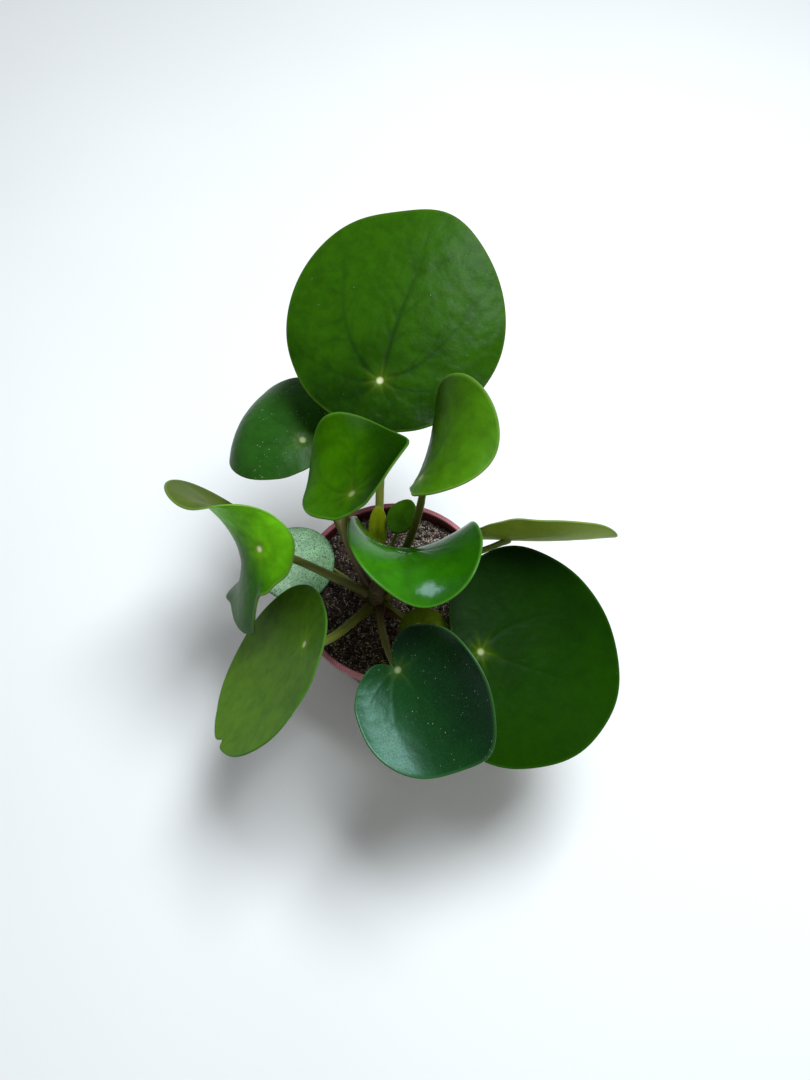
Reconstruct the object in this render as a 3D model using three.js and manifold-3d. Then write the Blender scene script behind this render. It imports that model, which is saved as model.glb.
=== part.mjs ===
// A potted Chinese money plant: round leaves on long stalks in a small plastic pot.
// Millimetres, +Z up. The origin is the centre of the pot's underside, and the front is -Y.
// Every leaf is a thin peltate blade, carried at its navel by a stalk of its own,
// and every stalk springs from one short stem that stands in a plain hole in the soil.
import * as THREE from 'three';
import Module from 'manifold-3d';

const wasm = await Module();
wasm.setup();

// ---------------------------------------------------------------- driving dimensions
const CLEARANCE = 0.4;

const POT = {
  height: 80,
  rimRadius: 45,
  lipWidth: 2.4,
  lipRound: 0.5,
  bandHeight: 4,
  bodyTopRadius: 43.8,
  baseRadius: 30,
  baseRound: 2,
  wall: 1.3,
  floor: 1.8,
  sides: 56,
  drainHoles: 6,
  drainRadius: 2.5,
  drainRing: 20,
  drainSides: 16,
};

const SOIL = {
  top: 74,
  bump: 0.9,
  sides: 44,
  rings: 9,
};

const STEM = {
  foot: [-8, -8],
  top: [-6.5, -5.5],
  topHeight: 97,
  footRadius: 4.8,
  topRadius: 3.6,
  depth: 14,
  sides: 16,
  steps: 10,
};

const BLADE = {
  thickness: 0.9,
  rings: 7,
  sides: 28,
  smallRings: 5,
  smallSides: 20,
};

const STALK = {
  sides: 8,
  steps: 12,
};

// Each leaf's pose and form. `navel` is the point on the upper face over the stalk's end.
// `heading` is the compass direction of the leaf's tip, counted from +X towards +Y, `pitch` lifts
// the tip and `roll` lifts the left side. `back` is the share of the length that lies behind the
// navel. The blade's slope away from its own plane, in degrees at half a leaf's length from the
// navel, is the sum of `cup` (all round), `fold` (up on two opposite sides), `bend` (up on one
// side), `curl` (two sides, near the margin), `wave` and `hook` (three sides, near the margin);
// each pair is an amount and its direction from the tip. `crimps` bend short stretches of the
// margin and `lobes` swell or narrow the outline there; each is an amount, a direction and how
// far it spreads. `sides` is for a blade whose margin turns tightly, and `small` for a short one.
// `stalk` is the stalk's width at the stem and at the blade. `node` is where it leaves the stem:
// the height, how steeply it sets off, how far it turns from the straight way to the navel, and
// how squarely it meets the blade. `bow` pulls its middle aside.
const PLAIN_LEAF = {
  egg: 0,
  tip: 0.02,
  notch: [0, 20],
  bend: [0, 0],
  curl: [0, 0],
  wave: [0, 0],
  hook: [0, 0],
  fold: [0, 0],
  crimps: [],
  lobes: [],
  bow: [0, 0, 0],
};

const LEAVES = [
  {
    name: 'tall_back', navel: [-5, 62, 155], heading: 76, pitch: 24, roll: 0, length: 96,
    width: 94, back: 0.22, cup: -6, fold: [-6, 73], bend: [-8, -11], curl: [4, 0],
    lobes: [[0.03, 47, 26], [0.02, -9, 12], [-0.02, -39, 17], [-0.02, 7, 13]], stalk: [4.6, 3.4],
    node: { height: 84, climb: 60, turn: 0, meet: 0.35 },
  },
  {
    name: 'dusty_back_left', navel: [-39.5, 51, 127], heading: 144, pitch: 10, roll: 0, length: 61,
    width: 60, back: 0.19, cup: -17, bend: [-33, 20], curl: [3, -24], egg: 0.02,
    crimps: [[5, -67, 27]], stalk: [3.6, 2.8], node: { height: 78, climb: 50, turn: 0, meet: 0.4 },
    red: true, lobes: [[0.1, 11, 22], [-0.05, -33, 14]],
  },
  {
    name: 'arched_centre', navel: [-14, 1.5, 168], heading: 90, pitch: -17, roll: -30,
    length: 50.5, width: 48.5, back: 0.21, cup: 17, fold: [-10, 148], bend: [-20, 65],
    wave: [16, -110], hook: [15, -7], crimps: [[-17, -22, 23], [-13, 91, 19]],
    lobes: [[-0.11, -18, 26], [0.05, 154, 17]], egg: -0.04, stalk: [3.4, 2.6],
    node: { height: 93, climb: 70, turn: 10, meet: 0.2 }, bow: [-7, 8, 0], young: true, red: true,
  },
  {
    name: 'cupped_back_right', navel: [11.5, 11, 163.5], heading: 48, pitch: 31, roll: -54,
    length: 47, width: 45, back: 0.14, cup: -6, fold: [38, 17], bend: [18, -101], curl: [8, 43],
    wave: [-11, -115], hook: [-5, -61], crimps: [[-20, -43, 30], [-12, 137, 21]],
    lobes: [[0.11, -136, 17]], egg: -0.04, tip: 0.03, stalk: [4.6, 2.9],
    node: { height: 91, climb: 62, turn: -5, meet: 0.2 }, bow: [0.5, 5.5, 0], young: true,
    red: true,
  },
  {
    name: 'twisted_left', navel: [-55.5, 1.5, 120.5], heading: 173, pitch: -39.5, roll: -38.5,
    length: 69, width: 65, back: 0.25, cup: 5, fold: [60, 86], bend: [4, 27], curl: [28, 115],
    hook: [-30, -41],
    crimps: [[-52, 79, 19], [-20, 79, 31], [37, 91, 19], [63, 87, 8], [-9, 10, 7]],
    lobes: [[0.3, -67, 26], [-0.15, 109, 17], [0.12, 62, 12], [-0.24, 10, 4], [0.23, 16, 7], [-0.24, 84, 13]],
    egg: 0.12, tip: 0, sides: 60, stalk: [5.2, 3.2],
    node: { height: 89, climb: 35, turn: 0, meet: 0.3 }, young: true,
  },
  {
    name: 'hanging_left', navel: [-35.5, -37.5, 112], heading: 205, pitch: -50, roll: 28,
    length: 78.5, width: 77, back: 0.23, cup: 10, fold: [4, 57], crimps: [[-16, -107, 28]],
    egg: 0.07, stalk: [5, 3.6], node: { height: 83, climb: 30, turn: 0, meet: 0.5 },
    lobes: [[0.07, -17, 29], [-0.03, 106, 19]],
  },
  {
    name: 'small_left', navel: [-32.5, 11, 86], heading: 183, pitch: -12, roll: -2, length: 38,
    width: 38.5, back: 0.14, cup: 0, curl: [6, -5], hook: [-6, 8],
    crimps: [[10, 31, 23], [-9, 76, 23]], lobes: [[-0.05, 27, 26]], small: true, stalk: [2.2, 1.6],
    node: { height: 83, climb: 30, turn: 0, meet: 0.5 },
  },
  {
    name: 'saddle_front', navel: [4.5, -6.5, 135], heading: -4, pitch: -4, roll: -50, length: 58,
    width: 58, back: 0.45, cup: 2, fold: [-54, 101], bend: [-36, -42], curl: [21, -49],
    wave: [18, 27], hook: [8, -11], crimps: [[-8, 93, 31], [25, -28, 21]],
    lobes: [[0.08, 120, 26]], egg: 0.06, sides: 40, stalk: [3.4, 2.6],
    node: { height: 93, climb: 74, turn: -25, meet: 0.3 }, young: true,
  },
  {
    name: 'edge_right', navel: [49.5, 9.5, 114], heading: -4, pitch: -2, roll: -70, length: 62,
    width: 57, back: 0.26, cup: 16, fold: [11, 65], bend: [-6, 110], wave: [4, -38], hook: [2, 64],
    crimps: [[22, -94, 15], [-16, 137, 14]], lobes: [[0.07, 35, 26]], egg: -0.03,
    stalk: [3.4, 2.6], node: { height: 84, climb: 40, turn: -4, meet: 0.2 }, bow: [0, 3, 4],
  },
  {
    name: 'large_right', navel: [37, -37.5, 102], heading: -10, pitch: -8, roll: 7, length: 87,
    width: 88.5, back: 0.3, cup: 5, fold: [7, 54], bend: [-8, -30], wave: [4, -26], hook: [-4, 22],
    crimps: [[8, -129, 20], [-8, 106, 28]], lobes: [[0.13, 90, 26], [-0.42, 158, 28]],
    stalk: [4.2, 3.2], node: { height: 79, climb: 35, turn: 0, meet: 0.5 }, red: true,
  },
  {
    name: 'notched_front', navel: [2.5, -48, 111], heading: -48, pitch: 12, roll: 15, length: 58,
    width: 58.5, back: 0.18, cup: 18, fold: [28, 73], bend: [2, -67], wave: [3, -34],
    hook: [-3, -23], crimps: [[12, 105, 22]],
    lobes: [[0.14, 123, 26], [0.05, 130, 17], [0.03, 4, 11], [-0.03, -76, 13], [0.03, -40, 17]],
    egg: -0.06, notch: [0.82, 24], stalk: [4, 3],
    node: { height: 85, climb: 45, turn: 0, meet: 0.4 }, bow: [-3, -2, 0], red: true,
  },
  {
    name: 'shaded_front', navel: [11, -24.5, 97], heading: -40, pitch: 4, roll: 0, length: 21.5,
    width: 21, back: 0.36, cup: 6, bend: [-6, 0], small: true, stalk: [2.2, 1.6],
    node: { height: 87, climb: 40, turn: 0, meet: 0.5 },
  },
  {
    name: 'young_dark', navel: [2.5, 13.5, 120.5], heading: 58, pitch: 21, roll: -10, length: 14.5,
    width: 13, back: 0.3, cup: 14, fold: [8, 103], bend: [-4, -17], hook: [3, 4],
    crimps: [[12, -77, 20]], lobes: [[0.06, -7, 26], [0.05, 174, 17]], tip: 0.05, small: true,
    stalk: [2, 1.4], node: { height: 95, climb: 62, turn: 12, meet: 0.3 },
  },
  {
    name: 'young_upright', navel: [-6.5, 10.5, 112.5], heading: 88, pitch: 42, roll: 0, length: 19,
    width: 8, back: 0.28, cup: 10, fold: [-22, 0], bend: [-6, 0], small: true, stalk: [2, 1.4],
    node: { height: 96.5, climb: 62, turn: 14, meet: 0.3 }, young: true,
  },
].map((leaf) => ({ ...PLAIN_LEAF, ...leaf }));

const COLOURS = {
  pot: { color: 0x7a2f2c, roughness: 0.5, metalness: 0 },
  soil: { color: 0x1d1612, roughness: 1, metalness: 0 },
  stem: { color: 0x5a4730, roughness: 0.85, metalness: 0 },
  bladeOld: { color: 0x2c5216, roughness: 0.4, metalness: 0 },
  bladeYoung: { color: 0x4d8a1e, roughness: 0.32, metalness: 0 },
  stalkGreen: { color: 0x5c6420, roughness: 0.5, metalness: 0 },
  stalkRed: { color: 0x4a3416, roughness: 0.5, metalness: 0 },
};

const UP = new THREE.Vector3(0, 0, 1);
const toRadians = THREE.MathUtils.degToRad;

// ---------------------------------------------------------------- closed bodies from grids
// Rows of points that run round a body, closed at both ends by a point, as one indexed solid.
function closedRows(first, rows, last) {
  const sides = rows[0].length;
  const points = [first, ...rows.flat(), last];
  const index = [];
  const at = (row, side) => 1 + row * sides + (side % sides);
  for (let side = 0; side < sides; side += 1) {
    index.push(0, at(0, side + 1), at(0, side));
    for (let row = 0; row + 1 < rows.length; row += 1) {
      index.push(at(row, side), at(row, side + 1), at(row + 1, side + 1));
      index.push(at(row, side), at(row + 1, side + 1), at(row + 1, side));
    }
    index.push(points.length - 1, at(rows.length - 1, side), at(rows.length - 1, side + 1));
  }
  const geometry = new THREE.BufferGeometry();
  const places = points.flatMap((p) => p.toArray());
  geometry.setAttribute('position', new THREE.Float32BufferAttribute(places, 3));
  geometry.setIndex(index);
  return geometry;
}

// A fixed value for each lattice point, and soft bumps about `size` across made from it, -1 to 1.
function latticeValue(i, j) {
  const value = Math.sin(i * 127.1 + j * 311.7) * 43758.5453;
  return 2 * (value - Math.floor(value)) - 1;
}

function bumps(x, y, size) {
  const i = Math.floor(x / size);
  const j = Math.floor(y / size);
  const u = THREE.MathUtils.smoothstep(x / size - i, 0, 1);
  const v = THREE.MathUtils.smoothstep(y / size - j, 0, 1);
  const near = THREE.MathUtils.lerp(latticeValue(i, j), latticeValue(i + 1, j), u);
  const far = THREE.MathUtils.lerp(latticeValue(i, j + 1), latticeValue(i + 1, j + 1), u);
  return THREE.MathUtils.lerp(near, far, v);
}

// ---------------------------------------------------------------- pot
// Radius of the pot's outer wall below the rim band.
function bodyRadius(z) {
  const bandBottom = POT.height - POT.bandHeight;
  return THREE.MathUtils.mapLinear(z, 0, bandBottom, POT.baseRadius, POT.bodyTopRadius);
}

const innerRadius = (z) => bodyRadius(z) - POT.wall;

function potProfile() {
  const top = POT.height;
  const bandBottom = top - POT.bandHeight;
  const lipInner = POT.rimRadius - POT.lipWidth;
  const round = POT.lipRound;
  return [
    new THREE.Vector2(0, 0),
    new THREE.Vector2(POT.baseRadius - POT.baseRound, 0),
    new THREE.Vector2(bodyRadius(POT.baseRound), POT.baseRound),
    new THREE.Vector2(bodyRadius(bandBottom), bandBottom),
    new THREE.Vector2(POT.rimRadius - round, bandBottom + round),
    new THREE.Vector2(POT.rimRadius, bandBottom + 2 * round),
    new THREE.Vector2(POT.rimRadius, top - round),
    new THREE.Vector2(POT.rimRadius - round, top),
    new THREE.Vector2(lipInner + round, top),
    new THREE.Vector2(lipInner, top - round),
    new THREE.Vector2(lipInner, top - 2 * round),
    new THREE.Vector2(innerRadius(bandBottom), bandBottom),
    new THREE.Vector2(innerRadius(POT.floor), POT.floor),
    new THREE.Vector2(0, POT.floor),
  ];
}

function toManifold(geometry) {
  const position = geometry.getAttribute('position');
  return new wasm.Manifold(new wasm.Mesh({
    numProp: 3,
    vertProperties: Float32Array.from(position.array),
    triVerts: Uint32Array.from(geometry.getIndex().array),
  }));
}

function fromManifold(solid) {
  const mesh = solid.getMesh();
  const geometry = new THREE.BufferGeometry();
  geometry.setAttribute('position', new THREE.BufferAttribute(mesh.vertProperties, 3));
  geometry.setIndex(new THREE.BufferAttribute(mesh.triVerts, 1));
  return geometry;
}

function ringRow(centre, radius, z, sides) {
  const row = [];
  for (let side = 0; side < sides; side += 1) {
    const angle = (2 * Math.PI * side) / sides;
    const x = centre.x + radius * Math.cos(angle);
    const y = centre.y + radius * Math.sin(angle);
    row.push(new THREE.Vector3(x, y, z));
  }
  return row;
}

// A round bar through the pot's floor, which cuts one of its drain holes.
function drainDrill(hole) {
  const angle = (2 * Math.PI * hole) / POT.drainHoles;
  const centre = new THREE.Vector2(POT.drainRing * Math.cos(angle), POT.drainRing * Math.sin(angle));
  const low = -POT.floor;
  const high = 2 * POT.floor;
  const rows = [low, high].map((z) => ringRow(centre, POT.drainRadius, z, POT.drainSides));
  const first = new THREE.Vector3(centre.x, centre.y, low);
  const last = new THREE.Vector3(centre.x, centre.y, high);
  return toManifold(closedRows(first, rows, last));
}

function makePot() {
  const profile = potProfile();
  const rows = profile.slice(1, -1).map((p) => ringRow(new THREE.Vector2(), p.x, p.y, POT.sides));
  const first = new THREE.Vector3(0, 0, 0);
  const last = new THREE.Vector3(0, 0, POT.floor);
  let solid = toManifold(closedRows(first, rows, last));
  for (let hole = 0; hole < POT.drainHoles; hole += 1) {
    solid = solid.subtract(drainDrill(hole));
  }
  return fromManifold(solid);
}

// ---------------------------------------------------------------- soil
// The filled root ball: it stops just inside the pot, and the stem stands in a plain hole in it.
function makeSoil() {
  const hole = new THREE.Vector2(...STEM.foot);
  const holeRadius = STEM.footRadius + CLEARANCE;
  const floor = POT.floor + CLEARANCE;
  const outer = (z) => innerRadius(z) - CLEARANCE;
  const rows = [ringRow(hole, holeRadius, SOIL.top - STEM.depth, SOIL.sides)];
  for (let ring = 0; ring <= SOIL.rings; ring += 1) {
    const share = ring / SOIL.rings;
    const inside = ringRow(hole, holeRadius, SOIL.top, SOIL.sides);
    const outside = ringRow(new THREE.Vector2(), outer(SOIL.top), SOIL.top, SOIL.sides);
    rows.push(inside.map((point, side) => {
      const place = point.clone().lerp(outside[side], share);
      const calm = ring === 0 || ring === SOIL.rings ? 0 : SOIL.bump;
      place.z += calm * (bumps(place.x, place.y, 9) + 0.6 * bumps(place.x + 50, place.y, 4));
      return place;
    }));
  }
  rows.push(ringRow(new THREE.Vector2(), outer(floor), floor, SOIL.sides));
  const holeFoot = new THREE.Vector3(hole.x, hole.y, SOIL.top - STEM.depth);
  return closedRows(new THREE.Vector3(0, 0, floor), rows.reverse(), holeFoot);
}

// ---------------------------------------------------------------- stem
function stemCentre(height) {
  const foot = SOIL.top - STEM.depth + CLEARANCE;
  const lean = THREE.MathUtils.smoothstep(height, SOIL.top, STEM.topHeight);
  const x = THREE.MathUtils.lerp(STEM.foot[0], STEM.top[0], lean);
  const y = THREE.MathUtils.lerp(STEM.foot[1], STEM.top[1], lean);
  return new THREE.Vector3(x, y, Math.max(height, foot));
}

function stemRadius(height) {
  return THREE.MathUtils.mapLinear(height, SOIL.top, STEM.topHeight, STEM.footRadius, STEM.topRadius);
}

function makeStem() {
  const foot = SOIL.top - STEM.depth + CLEARANCE;
  const rows = [ringRow(stemCentre(foot), STEM.footRadius, foot, STEM.sides)];
  for (let step = 0; step <= STEM.steps; step += 1) {
    const height = THREE.MathUtils.lerp(SOIL.top, STEM.topHeight, step / STEM.steps);
    rows.push(ringRow(stemCentre(height), stemRadius(height), height, STEM.sides));
  }
  const top = STEM.topHeight;
  rows.push(ringRow(stemCentre(top), 0.7 * STEM.topRadius, top + 1.4, STEM.sides));
  const tip = stemCentre(top).setZ(top + 2.2);
  return closedRows(stemCentre(foot), rows, tip);
}

// ---------------------------------------------------------------- blades
// The leaf's own axes: x to its tip, y to its left, z out of its upper face.
function leafAxes(leaf) {
  const heading = toRadians(leaf.heading);
  const pitch = toRadians(leaf.pitch);
  const roll = toRadians(leaf.roll);
  const level = Math.cos(pitch);
  const x = new THREE.Vector3(Math.cos(heading) * level, Math.sin(heading) * level, Math.sin(pitch));
  const flatLeft = new THREE.Vector3(-Math.sin(heading), Math.cos(heading), 0);
  const flatUp = x.clone().cross(flatLeft);
  const y = flatLeft.multiplyScalar(Math.cos(roll)).addScaledVector(flatUp, Math.sin(roll));
  return { x, y, z: x.clone().cross(y) };
}

// How near an angle lies to another: 1 at it, fading over `width` radians.
function nearAngle(angle, centre, width) {
  const gap = Math.atan2(Math.sin(angle - centre), Math.cos(angle - centre));
  return Math.exp(-((gap / width) ** 2));
}

// Distance from the navel to the margin: an egg-shaped ellipse with a small tip and base notch.
function marginDistance(leaf, angle) {
  const halfLength = leaf.length / 2;
  const halfWidth = leaf.width / 2;
  const centre = halfLength - leaf.back * leaf.length;
  const c = Math.cos(angle);
  const s = Math.sin(angle);
  const square = (c / halfLength) ** 2 + (s / halfWidth) ** 2;
  const linear = (-2 * centre * c) / halfLength ** 2;
  const constant = (centre / halfLength) ** 2 - 1;
  let distance = (-linear + Math.sqrt(linear ** 2 - 4 * square * constant)) / (2 * square);
  distance *= 1 + (leaf.egg * Math.abs(s) * (distance * c - centre)) / halfLength;
  distance *= 1 + leaf.tip * nearAngle(angle, 0, 0.35);
  distance *= 1 - leaf.notch[0] * nearAngle(angle, Math.PI, toRadians(leaf.notch[1]));
  for (const [amount, place, spread] of leaf.lobes) {
    distance *= 1 + amount * nearAngle(angle, toRadians(place), toRadians(spread));
  }
  return distance;
}

// Slope of the blade away from its plane at a reach of `far` half-lengths from the navel.
function bladeSlope(leaf, angle, far) {
  const sides = (pair, count) => pair[0] * Math.cos(count * (angle - toRadians(pair[1])));
  const first = leaf.cup + sides(leaf.fold, 2);
  const second = sides(leaf.bend, 1) + sides(leaf.curl, 2) + sides(leaf.wave, 3);
  let third = sides(leaf.hook, 3);
  for (const [amount, place, spread] of leaf.crimps) {
    third += amount * nearAngle(angle, toRadians(place), toRadians(spread));
  }
  return toRadians(first * far + second * far ** 2 + third * far ** 3);
}

// One spoke of the blade's middle surface, from the navel to the margin.
function bladeSpoke(leaf, axes, angle, rings) {
  const substeps = 4;
  const step = marginDistance(leaf, angle) / (rings * substeps);
  const radial = axes.x.clone().multiplyScalar(Math.cos(angle)).addScaledVector(axes.y, Math.sin(angle));
  const spoke = [];
  let out = 0;
  let up = 0;
  for (let part = 1; part <= rings * substeps; part += 1) {
    const slope = bladeSlope(leaf, angle, ((part - 0.5) * step) / (leaf.length / 2));
    out += step * Math.cos(slope);
    up += step * Math.sin(slope);
    if (part % substeps === 0) {
      const point = new THREE.Vector3(...leaf.navel);
      point.addScaledVector(radial, out).addScaledVector(axes.z, up);
      spoke.push(point);
    }
  }
  return spoke;
}

// A thin body on both sides of a surface of spokes, split alike on both faces.
function sheetBody(centre, spokes, thickness) {
  const sides = spokes.length;
  const rings = spokes[0].length;
  const middle = [centre, ...spokes.flat()];
  const at = (side, ring) => (ring < 0 ? 0 : 1 + (side % sides) * rings + ring);
  const face = [];
  for (let side = 0; side < sides; side += 1) {
    face.push([0, at(side, 0), at(side + 1, 0)]);
    for (let ring = 0; ring + 1 < rings; ring += 1) {
      face.push([at(side, ring), at(side, ring + 1), at(side + 1, ring + 1)]);
      face.push([at(side, ring), at(side + 1, ring + 1), at(side + 1, ring)]);
    }
  }
  const normals = middle.map(() => new THREE.Vector3());
  for (const [a, b, c] of face) {
    const edge = middle[b].clone().sub(middle[a]);
    const normal = edge.cross(middle[c].clone().sub(middle[a]));
    [a, b, c].forEach((corner) => normals[corner].add(normal));
  }
  normals.forEach((normal) => normal.normalize());
  const shifted = (distance) => middle.map((p, i) => p.clone().addScaledVector(normals[i], distance));
  const points = [...shifted(thickness / 2), ...shifted(-thickness / 2)];
  const under = middle.length;
  const index = face.flatMap(([a, b, c]) => [a, b, c, under + a, under + c, under + b]);
  for (let side = 0; side < sides; side += 1) {
    const here = at(side, rings - 1);
    const next = at(side + 1, rings - 1);
    index.push(here, under + here, under + next, here, under + next, next);
  }
  const geometry = new THREE.BufferGeometry();
  const places = points.flatMap((p) => p.toArray());
  geometry.setAttribute('position', new THREE.Float32BufferAttribute(places, 3));
  geometry.setIndex(index);
  return geometry;
}

function makeBlade(leaf) {
  const sides = leaf.sides ?? (leaf.small ? BLADE.smallSides : BLADE.sides);
  const rings = leaf.small ? BLADE.smallRings : BLADE.rings;
  const axes = leafAxes(leaf);
  const spokes = [];
  for (let side = 0; side < sides; side += 1) {
    spokes.push(bladeSpoke(leaf, axes, (2 * Math.PI * side) / sides, rings));
  }
  return sheetBody(new THREE.Vector3(...leaf.navel), spokes, BLADE.thickness);
}

// ---------------------------------------------------------------- stalks
// The stalk's line, from its seat beside the stem to its seat under the navel.
function stalkCurve(leaf) {
  const axes = leafAxes(leaf);
  const end = new THREE.Vector3(...leaf.navel);
  end.addScaledVector(axes.z, -(BLADE.thickness / 2 + CLEARANCE));
  const climb = toRadians(leaf.node.climb);
  const radius = leaf.stalk[0] / 2;
  const seatHeight = leaf.node.height + radius * Math.cos(climb);
  const root = stemCentre(seatHeight).setZ(leaf.node.height);
  const turn = toRadians(leaf.node.turn);
  const outward = end.clone().sub(root).setZ(0).normalize().applyAxisAngle(UP, turn);
  const reach = stemRadius(seatHeight) + CLEARANCE + radius * Math.sin(climb);
  const start = root.clone().addScaledVector(outward, reach);
  const setOff = outward.clone().multiplyScalar(Math.cos(climb)).setZ(Math.sin(climb));
  const span = end.distanceTo(start);
  const arrive = end.clone().sub(start).normalize().lerp(axes.z, leaf.node.meet).normalize();
  const bow = new THREE.Vector3(...leaf.bow);
  const curve = new THREE.CubicBezierCurve3(
    start,
    start.clone().addScaledVector(setOff, 0.35 * span).add(bow),
    end.clone().addScaledVector(arrive, -0.3 * span).add(bow),
    end,
  );
  return { curve, seat: axes.z };
}

// A round stalk, thickest at the stem, with its far end cut to lie flat under the blade.
function makeStalk(leaf) {
  const { curve, seat } = stalkCurve(leaf);
  const frames = curve.computeFrenetFrames(STALK.steps, false);
  const rows = [];
  for (let step = 0; step <= STALK.steps; step += 1) {
    const share = step / STALK.steps;
    const centre = curve.getPointAt(share);
    const tangent = frames.tangents[step];
    const radius = THREE.MathUtils.lerp(leaf.stalk[0], leaf.stalk[1], Math.sqrt(share)) / 2;
    const row = [];
    for (let side = 0; side < STALK.sides; side += 1) {
      const angle = (2 * Math.PI * side) / STALK.sides;
      const offset = frames.normals[step].clone().multiplyScalar(radius * Math.cos(angle));
      offset.addScaledVector(frames.binormals[step], radius * Math.sin(angle));
      if (step === STALK.steps) {
        offset.addScaledVector(tangent, -offset.dot(seat) / tangent.dot(seat));
      }
      row.push(centre.clone().add(offset));
    }
    rows.push(row);
  }
  return closedRows(curve.getPointAt(0), rows, curve.getPointAt(1));
}

// ---------------------------------------------------------------- the plant
const plant = new THREE.Group();

function addMesh(name, geometry, look) {
  geometry.computeVertexNormals();
  const mesh = new THREE.Mesh(geometry, new THREE.MeshStandardMaterial(look));
  mesh.name = name;
  plant.add(mesh);
}

addMesh('pot', makePot(), COLOURS.pot);
addMesh('soil', makeSoil(), COLOURS.soil);
addMesh('stem', makeStem(), COLOURS.stem);
for (const leaf of LEAVES) {
  addMesh(`blade_${leaf.name}`, makeBlade(leaf), leaf.young ? COLOURS.bladeYoung : COLOURS.bladeOld);
  addMesh(`stalk_${leaf.name}`, makeStalk(leaf), leaf.red ? COLOURS.stalkRed : COLOURS.stalkGreen);
}

export default plant;
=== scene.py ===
"""The looks of a potted Chinese money plant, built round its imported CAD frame.

Lengths in this file are millimetres in the part's own frame: the origin is the centre of the
pot's underside, +Z is up and the front is -Y. They become metres where a mesh is made. Only
the floor, the lamp and the camera are given in metres.
"""

import math
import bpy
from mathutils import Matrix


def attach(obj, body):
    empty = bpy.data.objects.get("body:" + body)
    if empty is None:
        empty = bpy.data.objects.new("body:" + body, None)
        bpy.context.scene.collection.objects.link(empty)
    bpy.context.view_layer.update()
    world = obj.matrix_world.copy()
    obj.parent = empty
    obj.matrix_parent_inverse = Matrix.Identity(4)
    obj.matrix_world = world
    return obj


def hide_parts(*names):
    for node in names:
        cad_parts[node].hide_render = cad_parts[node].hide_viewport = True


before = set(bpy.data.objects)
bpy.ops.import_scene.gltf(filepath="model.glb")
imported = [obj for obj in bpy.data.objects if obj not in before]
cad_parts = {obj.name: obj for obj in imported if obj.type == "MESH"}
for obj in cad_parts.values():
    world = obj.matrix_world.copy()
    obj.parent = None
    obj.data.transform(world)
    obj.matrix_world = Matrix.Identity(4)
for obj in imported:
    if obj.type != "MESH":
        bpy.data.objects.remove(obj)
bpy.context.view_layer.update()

from types import SimpleNamespace

import bmesh
import bpy
import numpy as np
from mathutils import Vector

MM = 0.001
TURN = 2 * math.pi
BODY = "root"

# ---- driving dimensions
CLEARANCE = 0.4
POT = SimpleNamespace(
    height=80, rim_radius=45, lip_width=2.4, lip_round=0.5, band_height=4, body_top_radius=43.8,
    base_radius=30, base_round=2, wall=1.3, floor=1.8, drain_holes=6, drain_radius=2.5, drain_ring=20,
)
SOIL_TOP = 74
STEM = SimpleNamespace(
    foot=(-8, -8), top=(-6.5, -5.5), top_height=97, foot_radius=4.8, top_radius=3.6, depth=14,
)
THICKNESS = 0.9

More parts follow.
